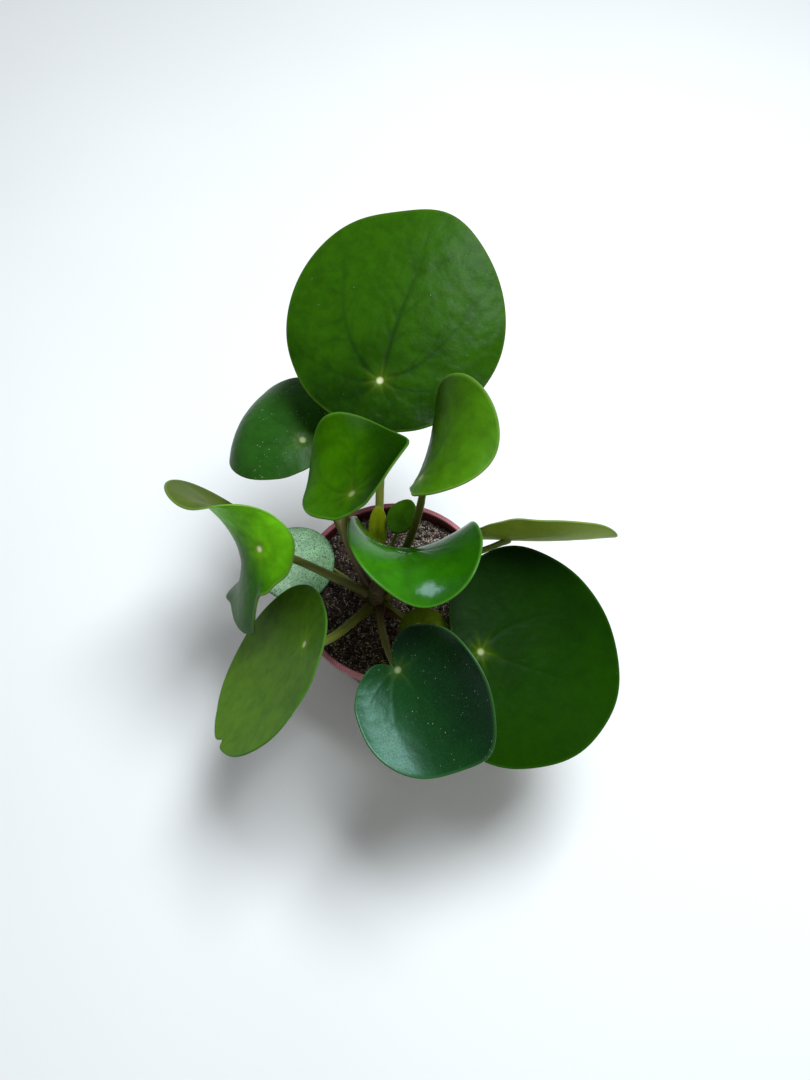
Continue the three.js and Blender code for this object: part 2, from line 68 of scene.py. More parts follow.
# Each leaf's pose and form, as the CAD source gives them: the navel over the stalk's end, the
# compass direction of the tip, the lifts of tip and left side, and the share of the length
# behind the navel. cup is a slope in degrees; fold, bend, curl, wave and hook are slopes with
# the direction, from the tip, in which they are greatest. Each crimp is a slope near the margin
# and each lobe a share of the outline, with its direction and spread. stalk gives the diameters
# at root and blade; node gives the root's height, its climb and turn, and how squarely the
# stalk meets the blade; bow shifts the stalk's middle. ripple, scallop and nick, which the CAD
# source leaves out, are the margin's fine waves up and down and outwards, and a small cut.
PLAIN_LEAF = dict(
    egg=0, tip=0.02, notch=(0, 20), bend=(0, 0), curl=(0, 0), wave=(0, 0), hook=(0, 0), fold=(0, 0),
    crimps=(), lobes=(), bow=(0, 0, 0), ripple=0.35, scallop=0.004, nick=(0, 0, 5), red=False,
    young=False,
)
LEAVES = {
    "tall_back": dict(
        navel=(-5, 62, 155), heading=76, pitch=24, roll=0, length=96, width=94, back=0.22, cup=-6,
        fold=(-6, 73), bend=(-8, -11), curl=(4, 0),
        lobes=((0.03, 47, 26), (0.02, -9, 12), (-0.02, -39, 17), (-0.02, 7, 13)), stalk=(4.6, 3.4),
        node=(84, 60, 0, 0.35), ripple=0.9, scallop=0.01,
    ),
    "dusty_back_left": dict(
        navel=(-39.5, 51, 127), heading=144, pitch=10, roll=0, length=61, width=60, back=0.19, cup=-17,
        bend=(-33, 20), curl=(3, -24), egg=0.02, crimps=((5, -67, 27),), stalk=(3.6, 2.8),
        node=(78, 50, 0, 0.4), red=True, lobes=((0.1, 11, 22), (-0.05, -33, 14)), scallop=0.008,
    ),
    "arched_centre": dict(
        navel=(-14, 1.5, 168), heading=90, pitch=-17, roll=-30, length=50.5, width=48.5, back=0.21,
        cup=17, fold=(-10, 148), bend=(-20, 65), wave=(16, -110), hook=(15, -7),
        crimps=((-17, -22, 23), (-13, 91, 19)), lobes=((-0.11, -18, 26), (0.05, 154, 17)), egg=-0.04,
        stalk=(3.4, 2.6), node=(93, 70, 10, 0.2), bow=(-7, 8, 0), young=True, red=True,
    ),
    "cupped_back_right": dict(
        navel=(11.5, 11, 163.5), heading=48, pitch=31, roll=-54, length=47, width=45, back=0.14, cup=-6,
        fold=(38, 17), bend=(18, -101), curl=(8, 43), wave=(-11, -115), hook=(-5, -61),
        crimps=((-20, -43, 30), (-12, 137, 21)), lobes=((0.11, -136, 17),), egg=-0.04, tip=0.03,
        stalk=(4.6, 2.9), node=(91, 62, -5, 0.2), bow=(0.5, 5.5, 0), young=True, red=True,
    ),
    "twisted_left": dict(
        navel=(-55.5, 1.5, 120.5), heading=173, pitch=-39.5, roll=-38.5, length=69, width=65, back=0.25,
        cup=5, fold=(60, 86), bend=(4, 27), curl=(28, 115), hook=(-30, -41),
        crimps=((-52, 79, 19), (-20, 79, 31), (37, 91, 19), (63, 87, 8), (-9, 10, 7)),
        lobes=(
            (0.3, -67, 26), (-0.15, 109, 17), (0.12, 62, 12), (-0.24, 10, 4), (0.23, 16, 7),
            (-0.24, 84, 13),
        ),
        egg=0.12, tip=0, stalk=(5.2, 3.2), node=(89, 35, 0, 0.3), young=True, ripple=0.15,
    ),
    "hanging_left": dict(
        navel=(-35.5, -37.5, 112), heading=205, pitch=-50, roll=28, length=78.5, width=77, back=0.23,
        cup=10, fold=(4, 57), crimps=((-16, -107, 28),), egg=0.07, stalk=(5, 3.6), node=(83, 30, 0, 0.5),
        lobes=((0.07, -17, 29), (-0.03, 106, 19)), nick=(0.05, 21, 2.5),
    ),
    "small_left": dict(
        navel=(-32.5, 11, 86), heading=183, pitch=-12, roll=-2, length=38, width=38.5, back=0.14, cup=0,
        curl=(6, -5), hook=(-6, 8), crimps=((10, 31, 23), (-9, 76, 23)), lobes=((-0.05, 27, 26),),
        stalk=(2.2, 1.6), node=(83, 30, 0, 0.5),
    ),
    "saddle_front": dict(
        navel=(4.5, -6.5, 135), heading=-4, pitch=-4, roll=-50, length=58, width=58, back=0.45, cup=2,
        fold=(-54, 101), bend=(-36, -42), curl=(21, -49), wave=(18, 27), hook=(8, -11),
        crimps=((-8, 93, 31), (25, -28, 21)), lobes=((0.08, 120, 26),), egg=0.06, stalk=(3.4, 2.6),
        node=(93, 74, -25, 0.3), young=True, ripple=0.15,
    ),
    "edge_right": dict(
        navel=(49.5, 9.5, 114), heading=-4, pitch=-2, roll=-70, length=62, width=57, back=0.26, cup=16,
        fold=(11, 65), bend=(-6, 110), wave=(4, -38), hook=(2, 64),
        crimps=((22, -94, 15), (-16, 137, 14)), lobes=((0.07, 35, 26),), egg=-0.03, stalk=(3.4, 2.6),
        node=(84, 40, -4, 0.2), bow=(0, 3, 4),
    ),
    "large_right": dict(
        navel=(37, -37.5, 102), heading=-10, pitch=-8, roll=7, length=87, width=88.5, back=0.3, cup=5,
        fold=(7, 54), bend=(-8, -30), wave=(4, -26), hook=(-4, 22),
        crimps=((8, -129, 20), (-8, 106, 28)), lobes=((0.13, 90, 26), (-0.42, 158, 28)),
        stalk=(4.2, 3.2), node=(79, 35, 0, 0.5), red=True, ripple=0.5, scallop=0.009,
    ),
    "notched_front": dict(
        navel=(2.5, -48, 111), heading=-48, pitch=12, roll=15, length=58, width=58.5, back=0.18, cup=18,
        fold=(28, 73), bend=(2, -67), wave=(3, -34), hook=(-3, -23), crimps=((12, 105, 22),),
        lobes=((0.14, 123, 26), (0.05, 130, 17), (0.03, 4, 11), (-0.03, -76, 13), (0.03, -40, 17)),
        egg=-0.06, notch=(0.82, 24), stalk=(4, 3), node=(85, 45, 0, 0.4), bow=(-3, -2, 0), red=True,
        scallop=0.009,
    ),
    "shaded_front": dict(
        navel=(11, -24.5, 97), heading=-40, pitch=4, roll=0, length=21.5, width=21, back=0.36, cup=6,
        bend=(-6, 0), stalk=(2.2, 1.6), node=(87, 40, 0, 0.5),
    ),
    "young_dark": dict(
        navel=(2.5, 13.5, 120.5), heading=58, pitch=21, roll=-10, length=14.5, width=13, back=0.3,
        cup=14, fold=(8, 103), bend=(-4, -17), hook=(3, 4), crimps=((12, -77, 20),),
        lobes=((0.06, -7, 26), (0.05, 174, 17)), tip=0.05, stalk=(2, 1.4), node=(95, 62, 12, 0.3),
        ripple=0.1,
    ),
    "young_upright": dict(
        navel=(-6.5, 10.5, 112.5), heading=88, pitch=42, roll=0, length=19, width=8, back=0.28, cup=10,
        fold=(-22, 0), bend=(-6, 0), stalk=(2, 1.4), node=(96.5, 62, 14, 0.3), young=True, ripple=0.1,
    ),
}
LEAVES = [SimpleNamespace(name=name, **{**PLAIN_LEAF, **leaf}) for name, leaf in LEAVES.items()]

# How each leaf looks, with colours in sRGB: the deep and the bright green of its face, the
# olive of its underside and the line of its margin. From 0 to 1: its dark veins, its dust
# specks, its pits, its pale film of dust and painted sheen, its roughness, the pale halo and
# spot at its navel, and its gloss, which sheen tints. quilt is about the height in millimetres
# of its swellings between the veins. Painted light brightens the face towards one side: a
# pair gives that side's direction from the tip, and how much.
PLAIN_LOOK = dict(
    deep=(26, 60, 6), bright=(44, 84, 14), under=(106, 124, 58), rim=(70, 112, 38), veins=0.3, dust=0.2,
    pits=0.0, film=0.0, rough=0.36, toward=(0, 0.35), halo=0.5, spot=0.5, quilt=0.05, gloss=0.25,
    sheen=(255, 255, 255),
)
LOOKS = {
    "tall_back": dict(
        deep=(6, 32, 0), bright=(44, 88, 4), rim=(70, 96, 24), veins=0.6, dust=0.25, toward=(-5, 0.9),
        quilt=0.16, rough=0.33, gloss=0.15, halo=0.45, spot=0.8,
    ),
    "dusty_back_left": dict(
        deep=(28, 70, 12), bright=(43, 92, 24), dust=0.8, rim=(56, 86, 30), veins=0.15, halo=0.3,
    ),
    "arched_centre": dict(
        deep=(14, 44, 0), bright=(56, 108, 1), rim=(80, 126, 40), toward=(90, 1.1), dust=0.05,
        veins=0.35, halo=0.3, spot=0.2, gloss=0.05,
    ),
    "cupped_back_right": dict(
        deep=(44, 77, 3), bright=(72, 125, 8), rim=(110, 146, 56), toward=(-90, 0.8), rough=0.38,
        dust=0.05, spot=0.35, halo=0.4, gloss=0.3,
    ),
    "twisted_left": dict(
        deep=(26, 76, 1), bright=(122, 212, 24), under=(80, 97, 32), rim=(104, 136, 60),
        toward=(-130, 1.4), rough=0.34, dust=0.05, gloss=0.1, veins=0.15, spot=1.0, halo=0.8,
    ),
    "hanging_left": dict(
        deep=(51, 95, 5), bright=(84, 125, 19), rim=(66, 118, 42), toward=(0, 0.5), rough=0.42,
        veins=0.1, gloss=0.1,
    ),
    # small_left: its pale, greyish greens and its film are painted sheen over a dusty face
    "small_left": dict(
        deep=(138, 214, 136), bright=(214, 252, 210), rim=(60, 104, 52), pits=1.0, film=0.6, rough=0.5,
        dust=0.3, veins=0.1, gloss=1.0, halo=0.2, spot=0.1, sheen=(220, 255, 230),
    ),
    "saddle_front": dict(
        deep=(28, 82, 2), bright=(56, 129, 7), rim=(80, 136, 40), toward=(180, 0.6), rough=0.16,
        dust=0.03, under=(92, 116, 46), halo=0.0, spot=0.0, veins=0.08, gloss=0.55,
        sheen=(215, 235, 255), quilt=0.02,
    ),
    "edge_right": dict(
        deep=(52, 98, 12), bright=(88, 130, 30), under=(151, 178, 53), rim=(112, 134, 66), dust=0.1,
        gloss=0.2,
    ),
    "large_right": dict(
        deep=(9, 37, 1), bright=(24, 61, 1), rim=(44, 86, 16), toward=(-60, 0.8), dust=0.08, veins=0.08,
        halo=0.4, spot=0.4, gloss=0.07,
    ),
    "notched_front": dict(
        deep=(4, 36, 3), bright=(13, 64, 11), rim=(54, 104, 46), dust=0.6, rough=0.34,
        toward=(-100, 0.9), veins=0.05, gloss=1.0, spot=0.3, sheen=(200, 255, 245), halo=0.2, pits=0.3,
    ),
    "shaded_front": dict(
        deep=(74, 94, 14), bright=(100, 118, 20), rim=(70, 86, 14), gloss=0.1,
    ),
    "young_dark": dict(
        deep=(37, 69, 2), bright=(55, 96, 7), rim=(48, 92, 18), halo=0.0, spot=0.0, dust=0.05,
        gloss=0.15,
    ),
    "young_upright": dict(
        deep=(94, 107, 5), bright=(122, 134, 12), rim=(104, 122, 28), halo=0.0, spot=0.0, dust=0.02,
        veins=0.6, gloss=0.1,
    ),
}
LOOKS = {name: SimpleNamespace(**{**PLAIN_LOOK, **look}) for name, look in LOOKS.items()}


# ---- meshes
def link(thing):
    bpy.context.scene.collection.objects.link(thing)


def mesh_piece(name, points, faces, stands_for, attributes=None, smooth=True):
    """A piece of the object from points in millimetres, riding on the part's one body."""
    mesh = bpy.data.meshes.new(name)
    mesh.from_pydata((np.asarray(points) * MM).tolist(), [], [list(map(int, f)) for f in faces])
    for key, values in (attributes or {}).items():
        values = np.asarray(values, np.float32)
        kind, field = ("FLOAT_VECTOR", "vector") if values.ndim == 2 else ("FLOAT", "value")
        mesh.attributes.new(key, kind, "POINT").data.foreach_set(field, values.ravel())
    mesh.validate()
    mesh.polygons.foreach_set("use_smooth", [smooth] * len(mesh.polygons))
    piece = bpy.data.objects.new(name, mesh)
    link(piece)
    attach(piece, BODY)
    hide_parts(stands_for)
    return piece


def closed_rows(rows, sides):
    """Faces of a closed body from `rows` rings of `sides` points, with a centre point at each
    end: the first centre is point 0 and the last centre is the last point."""
    side = np.arange(sides)
    following = (side + 1) % sides
    faces = []
    for row in range(rows - 1):
        low, high = 1 + row * sides, 1 + (row + 1) * sides
        faces += np.stack([low + side, high + side, high + following, low + following], 1).tolist()
    end = 1 + rows * sides
    last = 1 + (rows - 1) * sides
    faces += np.stack([np.zeros_like(side), 1 + side, 1 + following], 1).tolist()
    faces += np.stack([np.full_like(side, end), last + following, last + side], 1).tolist()
    return faces


def spokes(sides):
    return np.arange(sides) * TURN / sides


def polar(radius, angle):
    return np.stack([radius * np.cos(angle), radius * np.sin(angle)], -1)


def ring(radius, angle, z):
    """Points round the Z axis, one for each angle, at those radii and heights."""
    return np.stack(np.broadcast_arrays(radius * np.cos(angle), radius * np.sin(angle), z), -1)


def lathe(profile, sides):
    """Points and faces of a closed body turned round Z from a profile of (radius, z) pairs
    that starts and ends on the axis."""
    points = [(0, 0, profile[0][1])]
    for radius, z in profile[1:-1]:
        points += ring(radius, spokes(sides), z).tolist()
    points.append((0, 0, profile[-1][1]))
    return points, closed_rows(len(profile) - 2, sides)


def flip_outward(piece):
    """Turns a closed mesh's faces so that they all look out."""
    shell = bmesh.new()
    shell.from_mesh(piece.data)
    bmesh.ops.recalc_face_normals(shell, faces=shell.faces)
    shell.to_mesh(piece.data)
    shell.free()


def dress(piece, material):
    flip_outward(piece)
    piece.data.materials.append(material)


def unit(vector):
    return vector / np.linalg.norm(vector)


def smoothstep(value, low, high):
    share = np.clip((np.asarray(value, float) - low) / (high - low), 0, 1)
    return share * share * (3 - 2 * share)


def bell(value, width):
    return np.exp(-((value / width) ** 2))


def lattice(i, j, seed):
    """A fixed number from -1 to 1 for each corner of a grid."""
    value = np.sin(i * 127.1 + j * 311.7 + seed * 74.7) * 43758.5453
    return 2 * (value - np.floor(value)) - 1


def bumps(x, y, size, seed=0):
    """Soft bumps about `size` across, from -1 to 1, the same every time."""
    i, j = np.floor(x / size), np.floor(y / size)
    u, v = smoothstep(x / size - i, 0, 1), smoothstep(y / size - j, 0, 1)
    near = lattice(i, j, seed) * (1 - u) + lattice(i + 1, j, seed) * u
    far = lattice(i, j + 1, seed) * (1 - u) + lattice(i + 1, j + 1, seed) * u
    return near * (1 - v) + far * v


# ---- blades
def leaf_axes(leaf):
    """The blade's directions: to its tip, to its left and out of its face."""
    heading, pitch, roll = (math.radians(turn) for turn in (leaf.heading, leaf.pitch, leaf.roll))
    level = math.cos(pitch)
    x = np.array([math.cos(heading) * level, math.sin(heading) * level, math.sin(pitch)])
    flat_left = np.array([-math.sin(heading), math.cos(heading), 0])
    y = flat_left * math.cos(roll) + np.cross(x, flat_left) * math.sin(roll)
    return x, y, np.cross(x, y)


def near_angle(angle, centre, width):
    """1 where angle is at centre, falling to 0 on both sides."""
    gap = np.arctan2(np.sin(angle - centre), np.cos(angle - centre))
    return bell(gap, width)


def wobble(angle, counts, seed):
    """Waves round the margin, from -1 to 1: one of each count, at random phases."""
    phases = np.random.default_rng(seed).uniform(0, TURN, len(counts))
    return sum(np.sin(count * angle + phase) for count, phase in zip(counts, phases)) / len(counts)


def margin_distance(leaf, angle):
    """From the navel to the margin: an ellipse seen from off its centre, then the lobes."""
    half_length, half_width = leaf.length / 2, leaf.width / 2
    centre = half_length - leaf.back * leaf.length
    c, s = np.cos(angle), np.sin(angle)
    square = (c / half_length) ** 2 + (s / half_width) ** 2
    linear = -2 * centre * c / half_length**2
    constant = (centre / half_length) ** 2 - 1
    distance = (-linear + np.sqrt(linear**2 - 4 * square * constant)) / (2 * square)
    distance *= 1 + leaf.egg * np.abs(s) * (distance * c - centre) / half_length
    distance *= 1 + leaf.tip * near_angle(angle, 0, 0.35)
    distance *= 1 - leaf.notch[0] * near_angle(angle, math.pi, math.radians(leaf.notch[1]))
    for amount, place, spread in leaf.lobes:
        distance *= 1 + amount * near_angle(angle, math.radians(place), math.radians(spread))
    depth, place, width = leaf.nick
    distance *= 1 - depth * near_angle(angle, math.radians(place), math.radians(width))
    return distance * (1 + leaf.scallop * wobble(angle, (5, 7, 9, 12), int(leaf.length)))


def blade_slope(leaf, angle, far):
    """The blade's slope at `far`, which is the distance from the navel in half lengths."""
    def sides(slope, count):
        return slope[0] * np.cos(count * (angle - math.radians(slope[1])))

    first = leaf.cup + sides(leaf.fold, 2)
    second = sides(leaf.bend, 1) + sides(leaf.curl, 2) + sides(leaf.wave, 3)
    third = sides(leaf.hook, 3)
    for amount, place, spread in leaf.crimps:
        third = third + amount * near_angle(angle, math.radians(place), math.radians(spread))
    return np.radians(first * far + second * far**2 + third * far**3)


def blade_surface(leaf, angle, distance):
    """Points of the blade's middle surface at those distances from the navel along each spoke,
    as an array of rings by spokes, and its normals."""
    steps = 240
    reach = margin_distance(leaf, angle)
    far = (np.arange(steps) + 0.5)[:, None] / steps * reach / (leaf.length / 2)
    slope = blade_slope(leaf, angle, far)
    start = np.zeros((1, len(angle)))
    out = np.vstack([start, np.cumsum(np.cos(slope), 0)]) * reach / steps
    up = np.vstack([start, np.cumsum(np.sin(slope), 0)]) * reach / steps
    place = np.clip(distance / reach, 0, 1) * steps
    low = np.minimum(place.astype(int), steps - 1)
    part = place - low

    def at(values):
        near, far_end = np.take_along_axis(values, low, 0), np.take_along_axis(values, low + 1, 0)
        return near * (1 - part) + far_end * part

    x, y, z = leaf_axes(leaf)
    radial = np.cos(angle)[:, None] * x + np.sin(angle)[:, None] * y
    ripple = leaf.ripple * (distance / reach) ** 3 * wobble(angle, (4, 6, 9, 11), 3 + int(leaf.width))
    lift = at(up) + ripple
    points = np.array(leaf.navel) + at(out)[..., None] * radial + lift[..., None] * z
    along = np.gradient(points, axis=0)
    around = np.roll(points, -1, 1) - np.roll(points, 1, 1)
    normals = np.cross(along, around)
    normals /= np.linalg.norm(normals, axis=2, keepdims=True)
    return points, normals


# Main veins, as (start angle, end angle, width) from the tip: they leave the navel fanwise and
# arch towards the tip, and each forks past its middle.
MAIN_VEINS = (
    (0, -4, 1.0), (70, 30, 0.85), (-66, -32, 0.85), (112, 78, 0.7), (-110, -74, 0.7),
    (152, 126, 0.5), (-154, -128, 0.5),
)


def vein_segments(leaf):
    """Short straight pieces of the vein network in the flattened leaf: ends and strengths."""
    rng = np.random.default_rng(int(leaf.length * 7 + leaf.width))
    parts = []

    def grow(start_angle, end_angle, start, stop, strength):
        share = np.linspace(start, stop, 14)
        t = (share - start) / (stop - start)
        angle = np.radians(start_angle + (end_angle - start_angle) * t**0.8)
        angle = angle + 0.02 * np.sin(t * 9 + rng.uniform(0, TURN)) * t
        reach = margin_distance(leaf, angle) * share
        line = polar(reach, angle)
        fade = strength * (1 - 0.75 * t)
        parts.append(np.hstack([line[:-1], line[1:], fade[:-1, None]]))
        return np.degrees(angle), share, fade

    for first, last, width in MAIN_VEINS:
        turn = rng.uniform(-5, 5)
        angles, shares, fades = grow(first + turn, last + turn, 0.02, 0.86, width)
        fork = 8 + int(rng.integers(0, 2))
        for side in (-1, 1):
            bend = angles[fork] + side * rng.uniform(11, 17)
            grow(angles[fork], bend, shares[fork], 0.93, fades[fork] * 0.9)
        for knot in (3, 5, 7, 10, 11):
            for side in (-1, 1):
                bend = angles[knot] + side * rng.uniform(13, 22)
                stop = min(0.95, shares[knot] + rng.uniform(0.14, 0.24))
                grow(angles[knot], bend, shares[knot], stop, 0.7 * fades[knot])
    return np.vstack(parts)


def vein_strength(leaf, flat):
    """How much of a vein each point of the flattened leaf lies on, from 0 to 1."""
    strength = np.zeros(len(flat))
    for x0, y0, x1, y1, value in vein_segments(leaf):
        run = np.array([x1 - x0, y1 - y0])
        offset = flat - (x0, y0)
        share = np.clip(offset @ run / (run @ run + 1e-9), 0, 1)
        gap = np.hypot(*(offset - share[:, None] * run).T)
        strength = np.maximum(strength, value * bell(gap, 0.6 + 0.6 * value))
    return strength


def make_blade(leaf, look):
    """The blade as one closed piece, with relief, and with the numbers its material reads."""
    size = leaf.length
    sides, rings = (264, 62) if size > 60 else (190, 46) if size > 40 else (120, 26)
    angle = spokes(sides)
    reach = margin_distance(leaf, angle)
    half = THICKNESS / 2
    share = np.linspace(0, 1, rings + 1)[1:] ** 1.08
    round_off = np.radians(np.array([30, 55, 75, 90]))
    inner = share[:, None] * (reach - half)
    outer = (reach - half) + half * np.sin(round_off)[:, None]
    distance = np.vstack([inner, outer])
    depth = np.concatenate([np.full(rings, half), half * np.cos(round_off)])[:, None]
    points, normals = blade_surface(leaf, angle, distance)

    flat = polar(distance, angle)
    vein = vein_strength(leaf, flat.reshape(-1, 2)).reshape(distance.shape)
    still = 1 - smoothstep(distance / reach, 0.93, 0.995)
    awake = smoothstep(distance, 1.5, 6)
    x, y = flat[..., 0], flat[..., 1]
    quilting = bumps(x, y, 4.3, size) + 0.6 * bumps(x, y, 2.2, size + 1)
    quilting = look.quilt * quilting * (1 - 0.7 * vein) * awake * still
    dimple = 0.35 * bell(distance, 2.4) - 0.16 * bell(distance - 4.2, 2)
    above = depth + quilting - (0.16 * vein * awake + dimple) * still
    below = depth - quilting + 0.30 * vein * awake * still + 0.5 * bell(distance, 3.2)

    # the face, round the margin, and back along the underside; the margin's own ring is shared
    upper = points + normals * above[..., None]
    lower = points - normals * below[..., None]
    rows = np.concatenate([upper, lower[-2::-1]])
    z = leaf_axes(leaf)[2]
    navel = np.array(leaf.navel, float)
    top, bottom = navel + z * (half - 0.35), navel - z * (half + 0.5)
    cloud = np.vstack([top, rows.reshape(-1, 3), bottom])

    def both(values, first, last, under=None):
        mirrored = (values if under is None else under)[-2::-1]
        return np.concatenate([[first], np.concatenate([values, mirrored]).ravel(), [last]])

    def level(value):
        return np.full(distance.shape, float(value))

    rim = smoothstep(distance, reach - 1.3, reach - 0.35)
    # painted light: the face grows brighter towards one side
    toward, amount = look.toward
    along = np.cos(angle - math.radians(toward)) * distance / (size / 2)
    painted_light_tone = np.clip(0.5 + 0.5 * amount * along, 0, 1)
    rays = sum(near_angle(angle, math.radians(first), 0.16) * width for first, _, width in MAIN_VEINS)
    rays = 1 + 0.9 * rays
    halo = np.exp(-((distance / (2.6 * rays)) ** 1.5))
    spot = bell(distance, 1.5)
    attributes = {
        "flat": np.stack([both(x, 0, 0), both(y, 0, 0), both(level(size), size, size)], 1),
        "vein": both(vein, 0, 0),
        "rim": both(rim, 0, 0),
        "painted_light_tone": both(painted_light_tone, 0.5, 0.5),
        "halo": both(halo, 1, 1),
        "spot": both(spot, 1, 0, level(0)),
        "under": both(level(0), 0, 1, level(1)),
    }
    name = f"blade_{leaf.name}"
    faces = closed_rows(len(rows), sides)
    piece = mesh_piece(f"{name}_fine", cloud, faces, name, attributes)
    piece.data.materials.append(leaf_material(name, look, leaf.young))


# ---- materials
def linear(colour):
    """sRGB from 0 to 255 as the linear colour that shaders take."""
    share = np.array(colour, float) / 255
    return (*np.where(share <= 0.04045, share / 12.92, ((share + 0.055) / 1.055) ** 2.4), 1.0)


class Paint:
    """A node material that is put together a step at a time."""

    def __init__(self, name, roughness=0.5, **constants):
        self.material = bpy.data.materials.new(name)
        self.material.use_nodes = True
        self.tree = self.material.node_tree
        self.shader = self.tree.nodes["Principled BSDF"]
        self.shader.inputs["Roughness"].default_value = roughness
        for key, value in constants.items():
            self.shader.inputs[key.replace("_", " ")].default_value = value

    def put(self, socket, value):
        if isinstance(value, bpy.types.NodeSocket):
            self.tree.links.new(value, socket)
        elif value is not None:
            socket.default_value = value

    def node(self, kind, output, inputs, **settings):
        """Adds a node with those settings and inputs, and gives one of its outputs."""
        node = self.tree.nodes.new(f"ShaderNode{kind}")
        for key, value in settings.items():
            setattr(node, key, value)
        for key, value in inputs.items():
            self.put(node.inputs[key], value)
        return node.outputs[output]

    def attribute(self, name, output="Fac"):
        return self.node("Attribute", output, {}, attribute_name=name)

    def place(self):
        return self.node("TexCoord", "Object", {})

    def noise(self, where, scale, detail=3.0, roughness=0.55, distortion=0.0):
        form = {"Scale": scale, "Detail": detail, "Roughness": roughness, "Distortion": distortion}
        return self.node("TexNoise", "Fac", {"Vector": where, **form})

    def cells(self, where, scale, output="Distance"):
        return self.node("TexVoronoi", output, {"Vector": where, "Scale": scale})

    def math(self, operation, first, second=None, clamp=False):
        return self.node("Math", 0, {0: first, 1: second}, operation=operation, use_clamp=clamp)

    def times(self, first, second, clamp=False):
        return self.math("MULTIPLY", first, second, clamp)

    def fit(self, value, low, high, start=0.0, end=1.0):
        """value from low to high, smoothly, as start to end."""
        inputs = {"Value": value, "From Min": low, "From Max": high, "To Min": start, "To Max": end}
        return self.node("MapRange", "Result", inputs, interpolation_type="SMOOTHSTEP")

    def mix(self, share, first, second):
        first, second = (linear(c) if isinstance(c, tuple) else c for c in (first, second))
        return self.node("Mix", 2, {0: share, 6: first, 7: second}, data_type="RGBA")

    def tint(self, colour, value, low, high, other, most=1.0):
        """colour, and up to `most` of the other colour as value goes from low to high."""
        return self.mix(self.fit(value, low, high, 0.0, most), colour, other)

    def dots(self, colour, cell, inner, outer, most, other):
        """colour, with dots of the other colour in the middle of the cells."""
        return self.mix(self.fit(cell, inner, outer, most, 0.0), colour, other)

    def scaled(self, where, factors):
        return self.node("VectorMath", "Vector", {0: where, 1: factors}, operation="MULTIPLY")

    def bump(self, height, depth, strength=1.0, below=None):
        """Relief `depth` millimetres deep."""
        inputs = {"Strength": strength, "Distance": depth * MM, "Height": height, "Normal": below}
        return self.node("Bump", "Normal", inputs)

    def finish(self, colour=None, roughness=None, normal=None):
        self.put(self.shader.inputs["Base Color"], colour)
        self.put(self.shader.inputs["Roughness"], roughness)
        self.put(self.shader.inputs["Normal"], normal)
        return self.material


def leaf_material(name, look, young):
    paint = Paint(
        name, IOR=1.25, Specular_IOR_Level=look.gloss, Specular_Tint=linear(look.sheen),
        Subsurface_Weight=0.12 if young else 0.05, Subsurface_Scale=0.002,
    )
    flat = paint.attribute("flat", "Vector")
    under = paint.attribute("under")
    over = paint.math("SUBTRACT", 1.0, under)
    vein = paint.attribute("vein")
    rim = paint.attribute("rim")

    # the face: deeper and brighter green, mixed by random clouds and by painted light that makes
    # one side brighter, and small patches between the veins
    clouds = paint.noise(flat, 0.05, 3, 0.6)
    painted_light_tone = paint.math("SUBTRACT", paint.attribute("painted_light_tone"), 0.35)
    painted_light_tone = paint.math("ADD", paint.times(clouds, 0.7), painted_light_tone)
    face = paint.tint(look.deep, painted_light_tone, 0.15, 0.85, look.bright)
    patches = paint.noise(flat, 0.17, 4, 0.62, 0.3)
    face = paint.tint(face, patches, 0.35, 0.7, (14, 40, 4), 0.3)
    grain = paint.noise(flat, 1.9, 3, 0.6)
    face = paint.tint(face, grain, 0.3, 0.75, look.bright, 0.16)
    red, green, blue = look.deep
    dark_vein = (int(0.5 * red), int(0.66 * green), blue + 12)
    face = paint.mix(paint.times(vein, look.veins, True), face, dark_vein)
    halo = paint.times(paint.attribute("halo"), look.halo, True)
    face = paint.mix(halo, face, (120, 150, 26))
    face = paint.tint(face, paint.attribute("spot"), 0.15, 0.8, (222, 226, 178), look.spot)

    # the underside: paler and duller, with lighter veins and a few brown specks
    shaded = tuple(int(0.72 * part) for part in look.under)
    belly = paint.tint(look.under, clouds, 0.3, 0.7, shaded, 0.5)
    belly = paint.mix(paint.times(vein, 0.5, True), belly, (150, 168, 100))
    belly = paint.dots(belly, paint.cells(flat, 0.16), 0.03, 0.07, 0.7, (92, 70, 34))
    colour = paint.mix(under, face, belly)
    colour = paint.mix(paint.times(rim, 0.55), colour, look.rim)

    # a pale film, partly dust and partly painted sheen, white specks that lie on the face, and dark pits
    film = paint.times(paint.fit(paint.noise(flat, 0.11, 4, 0.7), 0.35, 0.7), look.film)
    colour = paint.mix(film, colour, (136, 172, 146))
    dot = paint.fit(paint.cells(flat, 0.95), 0.08, 0.22, 1.0, 0.0)
    chance = paint.cells(flat, 0.95, "Color")
    drifts = paint.fit(paint.noise(flat, 0.12, 3), 0.42, 0.62)
    bare = 1.0 - 0.5 * look.dust
    some = paint.fit(chance, bare, bare + 0.03)
    dot = paint.times(paint.times(dot, some), paint.times(over, drifts))
    colour = paint.mix(paint.times(dot, 0.8), colour, (196, 206, 186))
    if look.pits:
        pit = paint.fit(paint.cells(flat, 1.5), 0.2, 0.45, look.pits, 0.0)
        pit = paint.times(pit, paint.fit(paint.noise(flat, 0.9, 2), 0.34, 0.5))
        colour = paint.mix(pit, colour, (40, 80, 44))

    rough = paint.fit(grain, 0.3, 0.8, look.rough - 0.05, look.rough + 0.09)
    rough = paint.math("ADD", rough, paint.times(under, 0.16))
    rough = paint.math("ADD", rough, paint.times(dot, 0.3), True)
    fine = paint.bump(paint.noise(flat, 1.7, 3, 0.55), 0.07, 0.3)
    fine = paint.bump(paint.noise(flat, 0.3, 2, 0.5), 0.5, 0.1 + 2.0 * look.quilt, fine)
    fine = paint.bump(dot, 0.12, 0.8, fine)
    return paint.finish(colour, rough, fine)


